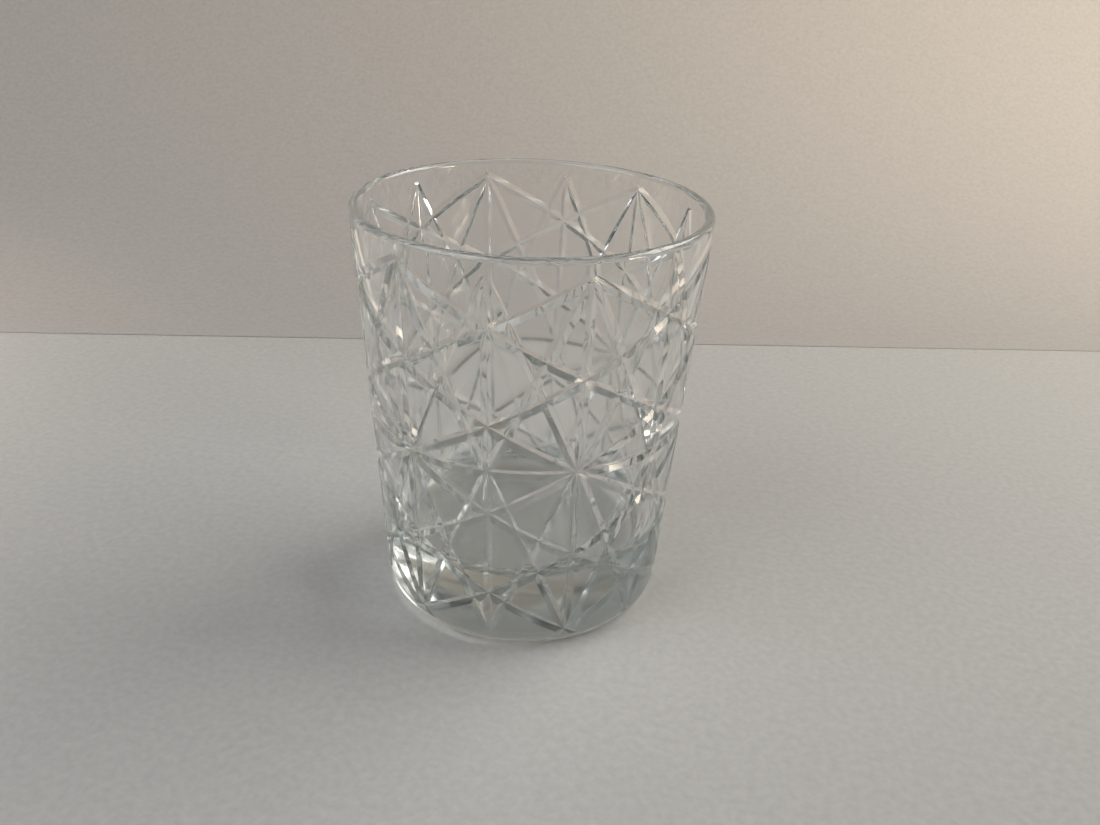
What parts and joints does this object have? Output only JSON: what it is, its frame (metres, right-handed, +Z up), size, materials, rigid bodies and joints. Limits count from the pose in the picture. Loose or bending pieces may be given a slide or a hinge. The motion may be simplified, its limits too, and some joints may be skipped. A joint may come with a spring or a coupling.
{
  "type": "rocks glass",
  "caption": "Clear pressed-glass tumbler with a heavy base and gently flared wall, covered in V cuts that cross in stars below a plain rim; holds a short drink.",
  "frame": {"origin": "on the table at the centre of the foot", "axes": "+Z up along the glass's axis, +X through a large star of the cut wall"},
  "size_m": [0.0866, 0.0866, 0.105],
  "materials": {
    "glass": "clear fire-polished soda-lime glass with a faint grey-green tint"
  },
  "bodies": {
    "root": {"foot": "glass", "base": "glass", "cut_wall": "glass", "rim": "glass"}
  },
  "joints": []
}
